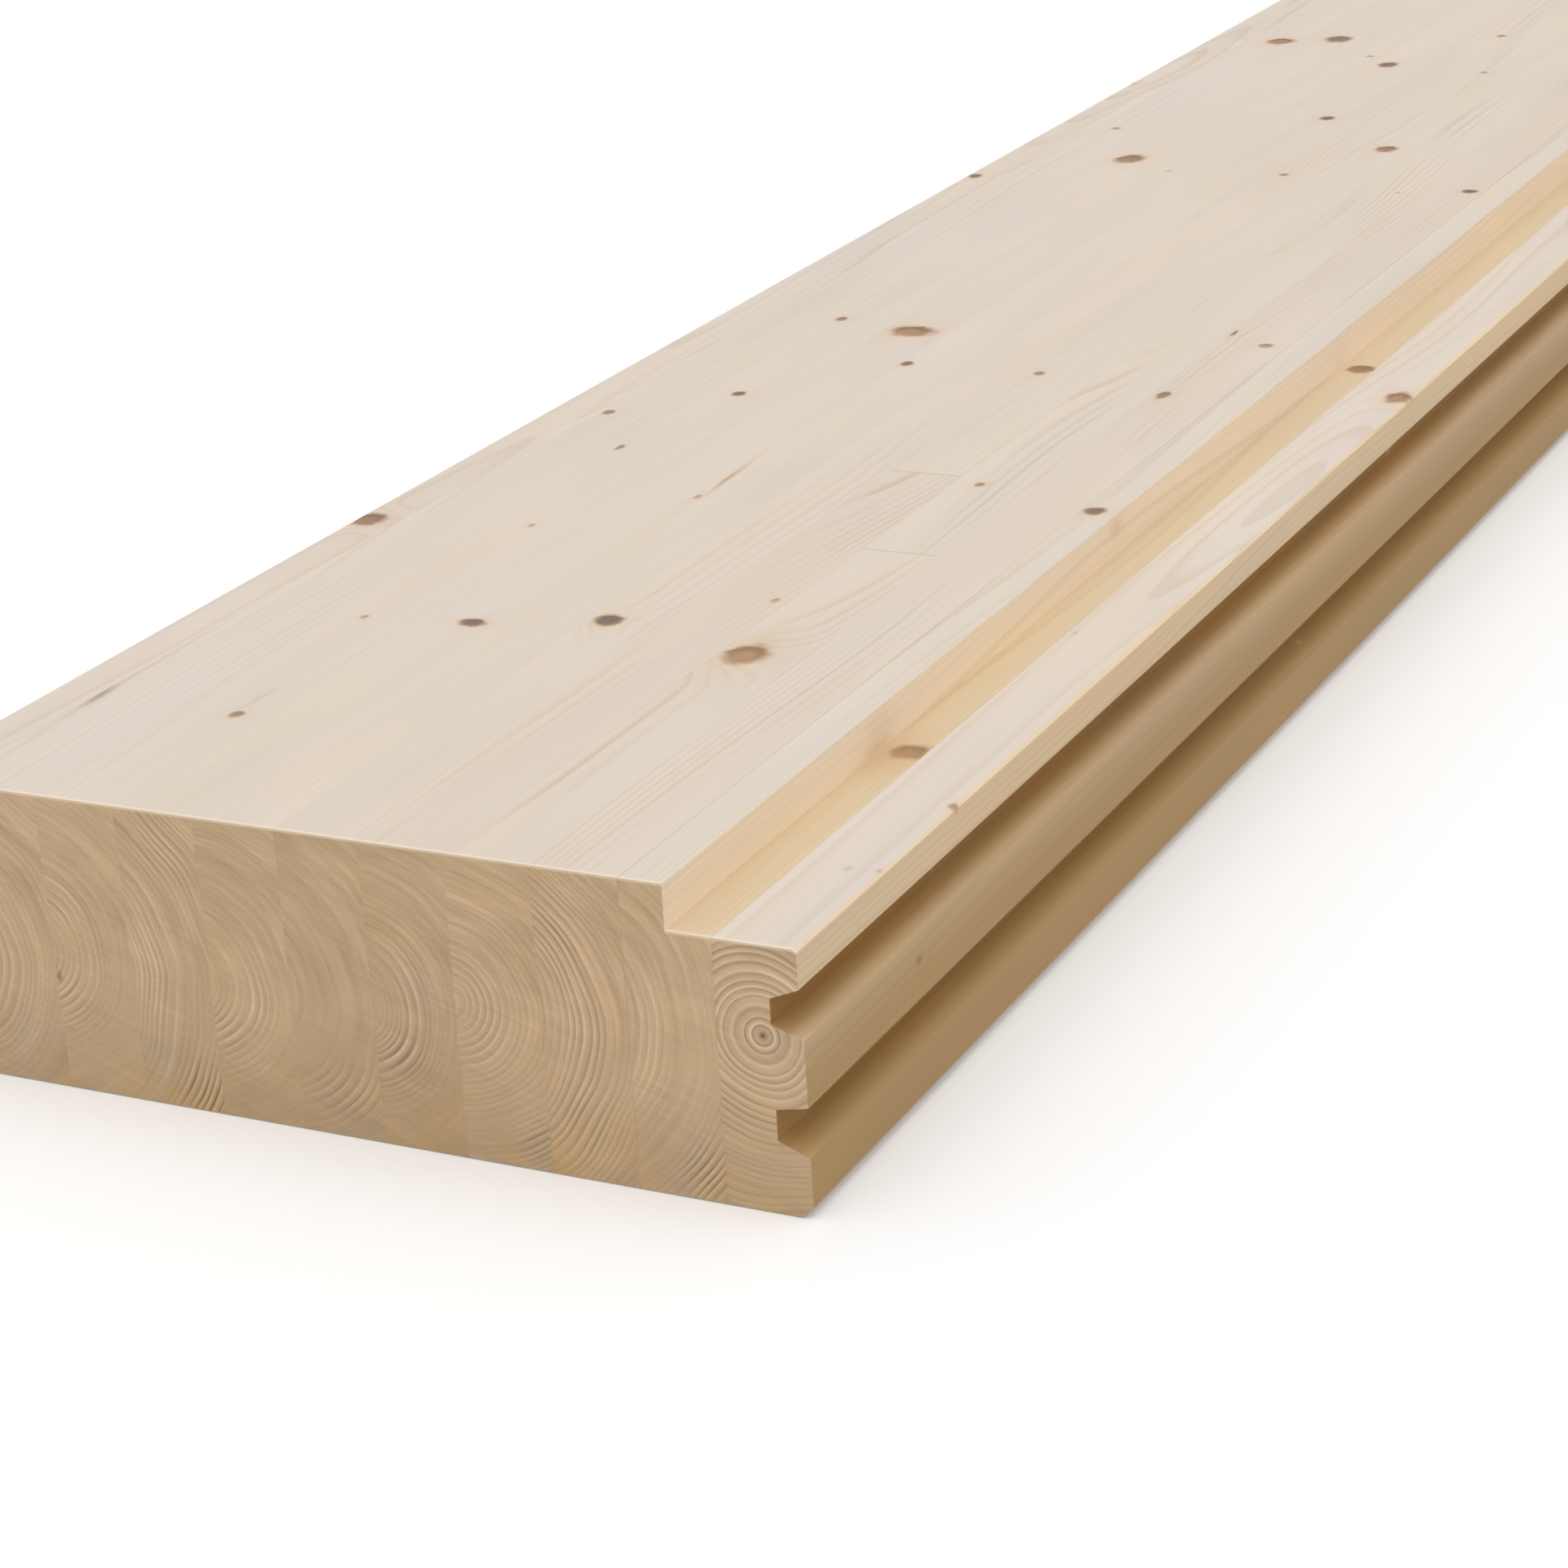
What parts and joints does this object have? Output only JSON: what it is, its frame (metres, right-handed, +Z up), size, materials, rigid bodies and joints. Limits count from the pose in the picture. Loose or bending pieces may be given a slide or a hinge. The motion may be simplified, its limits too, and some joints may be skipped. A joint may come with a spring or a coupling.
{
  "type": "laminated floor panel",
  "caption": "Flat structural panel of upright glued softwood lamellas, with double tongues on one long edge, matching grooves on the other and a rebate along each top edge.",
  "frame": {"origin": "centre of the underside, taken over the overall width with the tongues and over the length", "axes": "+Y along the grain, +X across the panel from the tongued edge to the grooved edge, +Z up through the thickness"},
  "size_m": [0.4884, 3, 0.14],
  "materials": {
    "spruce": "planed on the faces and fine sawn on the ends, unfinished"
  },
  "bodies": {
    "root": {"tongue_lamella": "spruce", "lamella_02": "spruce", "lamella_03": "spruce", "lamella_04": "spruce", "lamella_05": "spruce", "lamella_06": "spruce", "lamella_07": "spruce", "lamella_08_front_board": "spruce", "lamella_08_rear_board": "spruce", "lamella_09_front_board": "spruce", "lamella_09_rear_board": "spruce", "lamella_10": "spruce", "lamella_11": "spruce", "groove_lamella": "spruce"}
  },
  "joints": []
}
